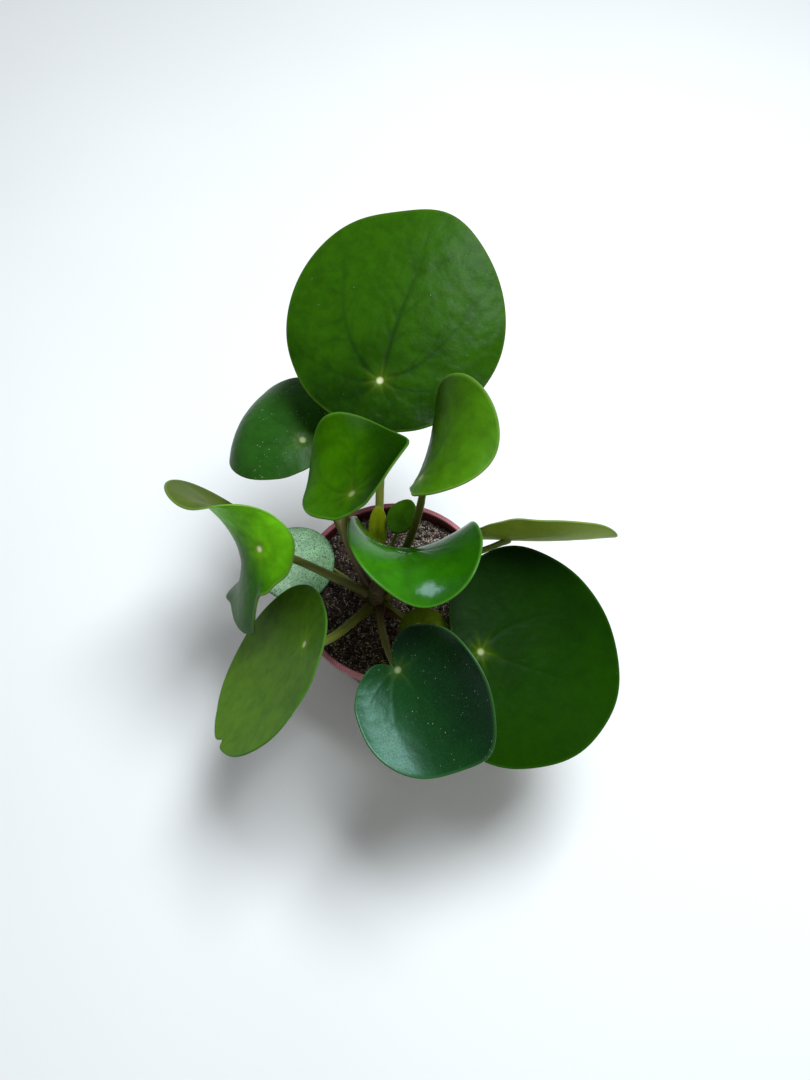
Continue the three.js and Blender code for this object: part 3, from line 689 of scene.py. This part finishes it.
def stalk_material(name, root, middle, top):
    paint = Paint(name, IOR=1.45, Subsurface_Weight=0.06, Subsurface_Scale=0.001)
    where = paint.attribute("flat", "Vector")
    along = paint.attribute("along")
    wander = paint.times(paint.noise(paint.scaled(where, (1, 1, 0.16)), 0.5, 4), 0.5)
    share = paint.math("SUBTRACT", paint.math("ADD", along, wander), 0.25)
    colour = paint.tint(root, share, 0.0, 0.4, middle)
    colour = paint.tint(colour, share, 0.55, 1.0, top)
    streaks = paint.noise(paint.scaled(where, (1, 1, 0.05)), 1.6, 4, 0.7)
    colour = paint.tint(colour, streaks, 0.45, 0.75, (52, 50, 12), 0.4)
    pores = paint.cells(paint.scaled(where, (1, 1, 0.5)), 0.8)
    colour = paint.dots(colour, pores, 0.05, 0.12, 0.5, (146, 140, 84))
    rough = paint.fit(streaks, 0.3, 0.7, 0.36, 0.52)
    normal = paint.bump(streaks, 0.18, 0.6)
    return paint.finish(colour, rough, normal)


def stem_material():
    paint = Paint("stem_bark_fine", roughness=0.85)
    where = paint.place()
    along = paint.attribute("scar")
    bark = paint.noise(paint.scaled(where, (1, 1, 2.4)), 700, 6, 0.7)
    colour = paint.tint((58, 44, 26), bark, 0.35, 0.65, (96, 82, 44))
    colour = paint.mix(paint.times(along, 0.8, True), colour, (128, 104, 62))
    moss = paint.noise(where, 260, 3)
    colour = paint.tint(colour, moss, 0.5, 0.7, (74, 86, 30), 0.6)
    return paint.finish(colour, paint.fit(bark, 0.3, 0.7, 0.7, 0.95), paint.bump(bark, 0.5, 0.8))


def pot_material(name, base, worn_and_highlight, deep):
    paint = Paint(name, IOR=1.48)
    where = paint.place()
    clouds = paint.noise(where, 45, 4, 0.6)
    colour = paint.tint(base, clouds, 0.35, 0.7, deep)
    # painted shade: the pot's inner faces are darker than its outside
    colour = paint.mix(paint.attribute("inside"), colour, (76, 18, 18))
    scuffs = paint.noise(paint.scaled(where, (1, 1, 3)), 420, 5, 0.75)
    colour = paint.tint(colour, scuffs, 0.62, 0.78, worn_and_highlight, 0.35)
    # painted highlight: the lip's rib crests are painted lighter, in the same colour as the scuffs
    colour = paint.mix(paint.times(paint.attribute("crest"), 0.75), colour, worn_and_highlight)
    crumbs = paint.fit(paint.cells(where, 900), 0.1, 0.2, 1.0, 0.0)
    crumbs = paint.times(crumbs, paint.fit(paint.noise(where, 60, 3), 0.56, 0.66))
    colour = paint.mix(paint.times(crumbs, 0.6), colour, (44, 28, 22))
    rough = paint.fit(scuffs, 0.3, 0.8, 0.34, 0.58)
    normal = paint.bump(paint.noise(where, 2600, 3, 0.6), 0.06, 0.5)
    return paint.finish(colour, rough, paint.bump(clouds, 0.3, 0.4, normal))


def soil_material():
    paint = Paint("potting_soil", roughness=0.95)
    where = paint.place()
    crumb = paint.noise(where, 420, 8, 0.78)
    colour = paint.tint((32, 22, 21), crumb, 0.32, 0.68, (80, 62, 54))
    flecks = paint.cells(where, 1300, "Color")
    colour = paint.tint(colour, flecks, 0.86, 0.95, (150, 128, 112), 0.55)
    normal = paint.bump(crumb, 1.2, 0.9)
    return paint.finish(colour, paint.fit(crumb, 0.3, 0.7, 0.8, 1.0), normal)


def grain_material(name, shades, roughness):
    """Loose matter whose pieces each have one shade, from a number that they carry."""
    paint = Paint(name)
    shade = paint.attribute("shade")
    colour = paint.tint(shades[0], shade, 0.0, 0.5, shades[1])
    colour = paint.tint(colour, shade, 0.5, 1.0, shades[2])
    mottle = paint.noise(paint.place(), 1500, 3, 0.7)
    colour = paint.tint(colour, mottle, 0.4, 0.8, shades[0], 0.45)
    rough = paint.fit(mottle, 0.3, 0.7, roughness - 0.1, roughness + 0.05)
    return paint.finish(colour, rough, paint.bump(mottle, 0.2, 0.7))


# ---- stem and stalks
def stem_centre(height):
    lean = float(smoothstep(height, SOIL_TOP, STEM.top_height))
    x, y = (foot + (top - foot) * lean for foot, top in zip(STEM.foot, STEM.top))
    return np.array([x, y, height])


def stem_radius(height):
    share = (height - SOIL_TOP) / (STEM.top_height - SOIL_TOP)
    return STEM.foot_radius + (STEM.top_radius - STEM.foot_radius) * share


def make_stem():
    """The stem with its leaf scars: at each old node a raised ridge, swollen more on one side."""
    sides, steps = 56, 90
    foot = SOIL_TOP - STEM.depth + CLEARANCE
    top = STEM.top_height
    heights = np.concatenate([[foot], np.linspace(SOIL_TOP - 3, top, steps)])
    angle = spokes(sides)
    scars = [(75.5 + 2.9 * k, 2.4 * k) for k in range(8)]
    rng = np.random.default_rng(11)
    rough = rng.normal(0, 0.06, (len(heights) + 4, sides))
    points, marks = [stem_centre(foot)], [0.0]
    for row, height in enumerate(heights):
        centre = stem_centre(height)
        radius = np.full(sides, stem_radius(max(height, SOIL_TOP)))
        mark = np.zeros(sides)
        for z, turn in scars:
            bow = z + 0.5 * np.cos(angle - turn)
            face = near_angle(angle, turn, 0.8)
            ridge = bell(height - bow, 0.45)
            radius += 0.3 * ridge + 0.25 * face * bell(height - bow - 0.2, 0.8)
            mark = np.maximum(mark, ridge * (0.35 + 0.65 * face))
        radius += 0.12 * np.sin(7 * angle + 0.25 * height) + rough[row]
        points += (ring(radius, angle, 0) + centre).tolist()
        marks += mark.tolist()
    for rise, narrow in ((0.7, 0.93), (1.4, 0.72), (1.9, 0.42)):
        points += (ring(stem_radius(top) * narrow, angle, rise) + stem_centre(top)).tolist()
        marks += [0.0] * sides
    points.append(stem_centre(top) + (0, 0, 2.2))
    marks.append(0.0)
    faces = closed_rows(len(heights) + 3, sides)
    dress(mesh_piece("stem_fine", points, faces, "stem", {"scar": marks}), stem_material())


def bezier(knots, t):
    t = np.asarray(t)[:, None]
    near = (1 - t) ** 3 * knots[0] + 3 * (1 - t) ** 2 * t * knots[1]
    return near + 3 * (1 - t) * t**2 * knots[2] + t**3 * knots[3]


def stalk_knots(leaf):
    """The stalk's Bezier points, the way it leaves the stem and the way it enters the blade."""
    height, climb, turn, meet = leaf.node
    climb, turn = math.radians(climb), math.radians(turn)
    seat = leaf_axes(leaf)[2]
    end = np.array(leaf.navel, float) - seat * (THICKNESS / 2 + CLEARANCE)
    radius = leaf.stalk[0] / 2
    seat_height = height + radius * math.cos(climb)
    root = stem_centre(seat_height)
    root[2] = height
    x, y, _ = unit((end - root) * (1, 1, 0))
    c, s = math.cos(turn), math.sin(turn)
    out = np.array([x * c - y * s, x * s + y * c, 0])
    start = root + out * (stem_radius(seat_height) + CLEARANCE + radius * math.sin(climb))
    set_off = out * math.cos(climb) + np.array([0, 0, math.sin(climb)])
    span = np.linalg.norm(end - start)
    arrive = unit(unit(end - start) * (1 - meet) + seat * meet)
    bow = np.array(leaf.bow)
    return (start, start + set_off * 0.35 * span + bow, end - arrive * 0.3 * span + bow, end), set_off, seat


def tube(line, radii, sides):
    """Rings of points round a line, carried along it without twisting."""
    tangents = np.gradient(line, axis=0)
    tangents /= np.linalg.norm(tangents, axis=1, keepdims=True)
    across = unit(np.cross(tangents[0], (0.3, 0.9, 0.2)))
    angle = spokes(sides)
    rows = []
    for point, tangent, radius in zip(line, tangents, radii):
        across = unit(across - tangent * (across @ tangent))
        side = np.cross(tangent, across)
        rows.append(point + radius * (np.cos(angle)[:, None] * across + np.sin(angle)[:, None] * side))
    return np.array(rows)


def make_stalk(leaf, material):
    """A round stalk, swollen where it leaves the stem and flared where it meets the blade."""
    knots, set_off, seat = stalk_knots(leaf)
    line = bezier(knots, np.linspace(0, 1, 400))
    run = np.concatenate([[0], np.cumsum(np.linalg.norm(np.diff(line, axis=0), axis=1))])
    length = run[-1]
    places = np.linspace(0, length, 64)
    line = np.stack([np.interp(places, run, line[:, k]) for k in range(3)], 1)
    share = places / length
    first, last = leaf.stalk
    radii = (first + (last - first) * np.sqrt(share)) / 2
    radii *= 1 + 0.22 * bell(places, 3.0) + 0.45 * np.exp(-(((length - places) / 1.6) ** 1.5))
    radii *= 1 + 0.02 * np.sin(places * 0.9) + 0.015 * np.sin(places * 0.37 + 1)
    # into the stem behind the root, and into the blade past the end
    back = unit(line[1] - line[0])
    line = np.vstack([line[0] - back * (CLEARANCE + 1.3), line, line[-1] + seat * (CLEARANCE + 0.25)])
    radii = np.concatenate([[radii[0] * 0.96], radii, [radii[-1] * 1.15]])
    places = np.concatenate([[-1.0], places, [length + 0.6]])
    sides = 20
    rows = tube(line, radii, sides)
    points = np.vstack([line[0], rows.reshape(-1, 3), line[-1]])
    flat = ring(radii[:, None], spokes(sides), places[:, None])
    flat = np.vstack([[0, 0, -1], flat.reshape(-1, 3), [0, 0, length]])
    along = np.clip(flat[:, 2] / length, 0, 1)
    name = f"stalk_{leaf.name}"
    faces = closed_rows(len(rows), sides)
    dress(mesh_piece(f"{name}_fine", points, faces, name, {"flat": flat, "along": along}), material)


# ---- pot
def body_radius(z):
    share = z / (POT.height - POT.band_height)
    return POT.base_radius + (POT.body_top_radius - POT.base_radius) * share


def inner_radius(z):
    return body_radius(z) - POT.wall


def make_pot():
    """The pot's tapered wall, with four shallow grooves and its drain holes, and its lip."""
    top = POT.height
    band = top - POT.band_height
    profile = [(0, 0), (POT.base_radius - 4, 0.0)]
    for a in np.radians([0, 25, 50, 72]):
        z = POT.base_round * (1 - math.cos(a))
        profile.append((body_radius(z) - POT.base_round * (1 - math.sin(a)), z))
    grooves = {8.0: 0.25, 9.0: 0.25, band - 9: 0.22, band - 8: 0.22}
    for z in np.linspace(3, band, 40):
        dip = sum(depth * bell(z - place, 0.35) for place, depth in grooves.items())
        profile.append((body_radius(z) - dip, z))
    profile += [(POT.rim_radius - 1.2, band + 0.3), (POT.rim_radius - 1.2, top - 1)]
    profile += [(inner_radius(band) + 0.2, top - 1), (inner_radius(band), band)]
    profile += [(inner_radius(z), z) for z in np.linspace(band - 4, POT.floor + 1.5, 8)]
    profile += [(inner_radius(POT.floor) - 1, POT.floor), (10, POT.floor), (0, POT.floor)]
    points, faces = lathe(profile, 168)
    radius = np.hypot(*np.array(points)[:, :2].T)
    height = np.array(points)[:, 2]
    # the inner faces, which the pot's material paints darker as painted shade
    inside = (radius < body_radius(height) - 0.6 * POT.wall) & (height > POT.floor - 0.1)
    marks = {"inside": inside, "crest": np.zeros(len(points))}
    wall = mesh_piece("pot_wall_fine", points, faces, "pot", marks)
    flip_outward(wall)
    drill_drains(wall)
    wall.data.materials.append(pot_material("pot_wall", (104, 34, 34), (150, 84, 84), (74, 20, 22)))
    make_lip(top, band)


def lip_section(inner, outer, top, band):
    """(radius, z) points round the lip, from its lower outer edge over the top and down inside."""
    soft = POT.lip_round

    def corner(edge, way, degrees):
        turns = np.radians(degrees)
        return [(edge + way * soft * (1 - math.sin(a)), top - soft * (1 - math.cos(a))) for a in turns]

    section = [(outer - 0.3, band + 0.1), (outer - soft * 0.3, band + soft * 0.4)]
    section += [(outer, band + 2 * soft), (outer, top - 2.2), (outer, top - 1.2)]
    section += corner(outer, -1, [60, 30, 0])
    section += [(outer - soft - (POT.lip_width - 2 * soft) * k, top) for k in (0.2, 0.4, 0.6, 0.8)]
    section += corner(inner, 1, [0, 30, 60, 90])
    return section + [(inner, top - 1.6), (inner, top - 3.2), (inner + 0.2, band - 0.2)]


def make_lip(top, band):
    """The rolled lip, with fine ribs that run over its top on the slant."""
    ribs, per_rib, rib_height = 288, 5, 0.16
    sides = ribs * per_rib
    angle = spokes(sides)
    inner, outer = POT.rim_radius - POT.lip_width, POT.rim_radius
    section = lip_section(inner, outer, top, band)
    rows, crest = [], []
    for radius, z in section:
        slant = (outer - radius) * 0.55 / POT.rim_radius + (top - z) * 0.2 / POT.rim_radius
        rib = 0.5 + 0.5 * np.cos(ribs * (angle + slant))
        reach = float(smoothstep(z, top - 1.8, top - 0.3))
        ridge = rib_height * rib * reach
        drop = rib_height * (1 - rib) * reach * float(smoothstep(z, top - 0.4, top))
        side = math.copysign(1, radius - (outer + inner) / 2) * (1 - float(smoothstep(z, top - 0.3, top)))
        rows.append(ring(radius + side * (ridge - rib_height * reach), angle, z - drop))
        crest.append(rib * reach)
    points = np.array(rows).reshape(-1, 3)
    side = np.arange(sides)
    following = (side + 1) % sides
    faces = []
    for row in range(len(section)):
        low, high = row * sides, ((row + 1) % len(section)) * sides
        faces += np.stack([low + side, low + following, high + following, high + side], 1).tolist()
    # the lip's inner faces, which the material paints darker as painted shade
    inside = np.repeat([float(r < inner + 0.15 and z < top - 0.6) for r, z in section], sides)
    # the rib crests, which the material paints lighter as a painted highlight
    marks = {"crest": np.array(crest).ravel(), "inside": inside}
    lip = mesh_piece("pot_lip_fine", points, faces, "pot", marks)
    # painted light: the lip's colours are lighter than the wall's, as where light falls on its top
    dress(lip, pot_material("pot_lip", (150, 70, 80), (206, 128, 138), (128, 50, 60)))


def drill_drains(wall):
    """Cuts the six drain holes through the pot's floor."""
    drill = bmesh.new()
    radius, depth = POT.drain_radius * MM, 4 * POT.floor * MM
    for hole in range(POT.drain_holes):
        turn = TURN * hole / POT.drain_holes
        made = bmesh.ops.create_cone(
            drill, cap_ends=True, segments=28, radius1=radius, radius2=radius, depth=depth,
        )
        x, y = POT.drain_ring * math.cos(turn) * MM, POT.drain_ring * math.sin(turn) * MM
        bmesh.ops.translate(drill, verts=made["verts"], vec=(x, y, POT.floor / 2 * MM))
    mesh = bpy.data.meshes.new("drill")
    drill.to_mesh(mesh)
    drill.free()
    cutter = bpy.data.objects.new("drill", mesh)
    link(cutter)
    cut = wall.modifiers.new("drains", "BOOLEAN")
    cut.operation, cut.solver, cut.object = "DIFFERENCE", "EXACT", cutter
    graph = bpy.context.evaluated_depsgraph_get()
    final = bpy.data.meshes.new_from_object(wall.evaluated_get(graph), depsgraph=graph)
    wall.modifiers.clear()
    wall.data = final
    bpy.data.objects.remove(cutter)
    bpy.data.meshes.remove(mesh)


# ---- soil
def soil_height(x, y):
    """Height of the soil's top: crumbly, a little lower along the pot's wall."""
    height = SOIL_TOP + 0.9 * (bumps(x, y, 9) + 0.6 * bumps(x + 50, y, 4))
    height += 0.45 * bumps(x, y, 2.1, 3) + 0.28 * bumps(x, y, 1.1, 4)
    edge = np.hypot(x, y) / inner_radius(SOIL_TOP)
    return height - 0.9 * smoothstep(edge, 0.86, 1.0)


def make_soil():
    """The soil as a body that fills the pot, with a hole in its top where the stem stands."""
    sides, rings = 300, 84
    angle = spokes(sides)
    hole = np.array(STEM.foot, float)
    start = polar(STEM.foot_radius - 0.6, angle) + hole
    stop = polar(inner_radius(SOIL_TOP) - 0.05, angle)
    levels = (POT.floor + CLEARANCE, 30, 60)
    rows = [ring(inner_radius(level) - 0.2, angle, level) for level in levels]
    for share in np.linspace(1, 0, rings):
        flat = start + (stop - start) * share
        rows.append(np.column_stack([flat, soil_height(flat[:, 0], flat[:, 1])]))
    foot = SOIL_TOP - STEM.depth
    rows.append(np.column_stack([start, np.full(sides, foot)]))
    points = np.vstack([(0, 0, POT.floor + CLEARANCE), np.vstack(rows), (*hole, foot)])
    dress(mesh_piece("soil_fine", points, closed_rows(len(rows), sides), "soil"), soil_material())


# the points and faces of the smallest grains
OCTAHEDRON = (
    np.array([(1, 0, 0), (0, 1, 0), (-1, 0, 0), (0, -1, 0), (0, 0, 1), (0, 0, -1)], float),
    np.array([(0, 1, 4), (1, 2, 4), (2, 3, 4), (3, 0, 4), (1, 0, 5), (2, 1, 5), (3, 2, 5), (0, 3, 5)]),
)


def ball(rounds):
    """Points and faces of a ball of radius 1."""
    shell = bmesh.new()
    bmesh.ops.create_icosphere(shell, subdivisions=rounds, radius=1)
    points = np.array([v.co for v in shell.verts])
    faces = np.array([[v.index for v in f.verts] for f in shell.faces])
    shell.free()
    return points, faces


def scatter_places(rng, count, density):
    """Random places on the soil, more of them where density(x, y) is near 1."""
    places = np.zeros((0, 2))
    while len(places) < count:
        radius = (inner_radius(SOIL_TOP) - 0.6) * np.sqrt(rng.random(4 * count))
        turn = rng.uniform(0, TURN, 4 * count)
        spots = polar(radius, turn)
        clear = np.hypot(*(spots - STEM.foot).T) > STEM.foot_radius + 0.4
        spots = spots[clear & (rng.random(4 * count) < density(*spots.T))]
        places = np.vstack([places, spots])
    return places[:count]


def scatter(name, seed, count, shape, sizes, flatness, density, shades, roughness, sink=0.35):
    """Loose grains on the soil as one piece, each turned, stretched and shaded at random."""
    rng = np.random.default_rng(seed)
    base, faces = shape
    places = scatter_places(rng, count, density)
    size = np.exp(rng.uniform(math.log(sizes[0]), math.log(sizes[1]), count))
    height = soil_height(places[:, 0], places[:, 1]) + sink * size
    cloud, links, shade = [], [], []
    tints = rng.random(count)
    for k in range(count):
        turn, _ = np.linalg.qr(rng.normal(size=(3, 3)))
        lumps = base * (1 + rng.uniform(-0.28, 0.28, (len(base), 1)))
        lumps = lumps * (1, rng.uniform(0.55, 1), flatness) @ turn.T * size[k]
        cloud.append(lumps + (places[k, 0], places[k, 1], height[k]))
        links.append((faces if np.linalg.det(turn) > 0 else faces[:, ::-1]) + k * len(base))
        shade.append(np.full(len(base), tints[k]))
    marks = {"shade": np.concatenate(shade)}
    piece = mesh_piece(name, np.vstack(cloud), np.vstack(links), "soil", marks, smooth=False)
    piece.data.materials.append(grain_material(name, shades, roughness))


def make_fibres():
    """Thin pale roots and plant fibres that lie on the soil."""
    rng = np.random.default_rng(5)
    places = scatter_places(rng, 150, evenly)
    steps, sides = 9, 4
    cloud, links, shade, base = [], [], [], 0
    for x, y in places:
        heading, length = rng.uniform(0, TURN), rng.uniform(3, 13)
        curve = rng.uniform(-1.3, 1.3) / steps
        step = length / steps
        line = []
        for _ in range(steps):
            line.append((x, y, float(soil_height(np.array(x), np.array(y))) + rng.uniform(0.15, 0.6)))
            x, y = x + step * math.cos(heading), y + step * math.sin(heading)
            heading += curve + rng.normal(0, 0.16)
            if math.hypot(x, y) > inner_radius(SOIL_TOP) - 0.8:
                break
        if len(line) < 4:
            continue
        radii = rng.uniform(0.09, 0.17) * np.linspace(1, 0.45, len(line))
        rows = tube(np.array(line), radii, sides)
        points = np.vstack([line[0], rows.reshape(-1, 3), line[-1]])
        cloud.append(points)
        links += [[base + corner for corner in face] for face in closed_rows(len(rows), sides)]
        shade.append(np.full(len(points), rng.random()))
        base += len(points)
    marks = {"shade": np.concatenate(shade)}
    piece = mesh_piece("soil_fibres", np.vstack(cloud), links, "soil", marks)
    dress(piece, grain_material("soil_fibres", FIBRE_SHADES, 0.8))


def evenly(x, y):
    return np.full(len(x), 0.5)


def pale_patch(x, y):
    """Where pale grit gathers: thickest towards the back right."""
    patch = np.exp(-(((x - 15) / 15) ** 2 + ((y - 22) / 13) ** 2))
    streaks = 0.5 + 0.5 * bumps(x, y, 6, 8)
    patch += 0.4 * np.exp(-(((x + 17) / 15) ** 2 + ((y + 19) / 13) ** 2))
    return np.clip(0.16 + 0.12 * streaks + 0.9 * patch, 0, 1)


# ---- the plant
CRUMB_SHADES = ((28, 18, 17), (56, 40, 35), (96, 76, 64))
BIT_SHADES = ((36, 25, 23), (84, 66, 57), (176, 150, 132))
GRIT_SHADES = ((146, 126, 112), (206, 192, 174), (250, 244, 232))
FIBRE_SHADES = ((116, 84, 64), (172, 136, 110), (214, 184, 156))
make_pot()
make_soil()
scatter("soil_crumbs", 21, 1500, ball(1), (0.5, 1.7), 0.75, evenly, CRUMB_SHADES, 0.9, sink=0.1)
scatter("soil_bits", 22, 5200, OCTAHEDRON, (0.22, 0.6), 0.6, evenly, BIT_SHADES, 0.9)
scatter("soil_grit", 23, 7600, OCTAHEDRON, (0.17, 0.46), 0.7, pale_patch, GRIT_SHADES, 0.8, sink=0.6)
make_fibres()
make_stem()
RED_STALK = stalk_material("stalk_red_fine", (76, 50, 24), (104, 96, 34), (110, 122, 34))
GREEN_STALK = stalk_material("stalk_green_fine", (86, 86, 20), (112, 120, 34), (120, 136, 42))
for leaf in LEAVES:
    make_blade(leaf, LOOKS[leaf.name])
    make_stalk(leaf, RED_STALK if leaf.red else GREEN_STALK)


# ---- floor, light and camera
FLOOR_REACH = 3.0
AIM = (0.0, 0.0, 0.11)
WINDOW = SimpleNamespace(place=(0.24, 0.24, 0.98), size=0.42, power=11, colour=(0.88, 0.95, 1.0))
SKY = SimpleNamespace(colour=(0.93, 0.96, 1.0, 1), strength=0.3)
# at the photograph's angle: down at 64.5 degrees from the front
CAMERA = SimpleNamespace(place=(0.00534, -0.1395, 0.4247), down=64.5, sensor=36, lens=26.667)


def make_floor():
    mesh = bpy.data.meshes.new("floor")
    corners = [(FLOOR_REACH * x, FLOOR_REACH * y, 0) for x, y in ((-1, -1), (1, -1), (1, 1), (-1, 1))]
    mesh.from_pydata(corners, [], [(0, 1, 2, 3)])
    floor = bpy.data.objects.new("floor", mesh)
    link(floor)
    paint = Paint("floor_plain", roughness=0.9)
    tint = paint.noise(paint.place(), 3, 2)
    colour = paint.tint((246, 246, 245), tint, 0.3, 0.7, (250, 250, 249))
    mesh.materials.append(paint.finish(colour))


def make_light():
    """A soft square lamp, turned to the plant's middle, and a faint even sky."""
    lamp = bpy.data.lights.new("window", "AREA")
    lamp.shape = "SQUARE"
    lamp.size = WINDOW.size
    lamp.energy = WINDOW.power
    lamp.color = WINDOW.colour
    holder = bpy.data.objects.new("window", lamp)
    holder.location = WINDOW.place
    holder.rotation_mode = "QUATERNION"
    aim = np.array(AIM) - np.array(WINDOW.place)
    holder.rotation_quaternion = Vector(aim).to_track_quat("-Z", "Y")
    link(holder)
    world = bpy.data.worlds.new("studio")
    world.use_nodes = True
    sky = world.node_tree.nodes["Background"].inputs
    sky["Color"].default_value = SKY.colour
    sky["Strength"].default_value = SKY.strength
    bpy.context.scene.world = world
    bpy.context.scene.view_settings.view_transform = "Standard"


def make_camera():
    camera = bpy.data.cameras.new("camera")
    camera.sensor_width = CAMERA.sensor
    camera.lens = CAMERA.lens
    holder = bpy.data.objects.new("camera", camera)
    holder.location = CAMERA.place
    holder.rotation_euler = (math.radians(90 - CAMERA.down), 0, 0)
    link(holder)
    bpy.context.scene.camera = holder


make_floor()
make_light()
make_camera()
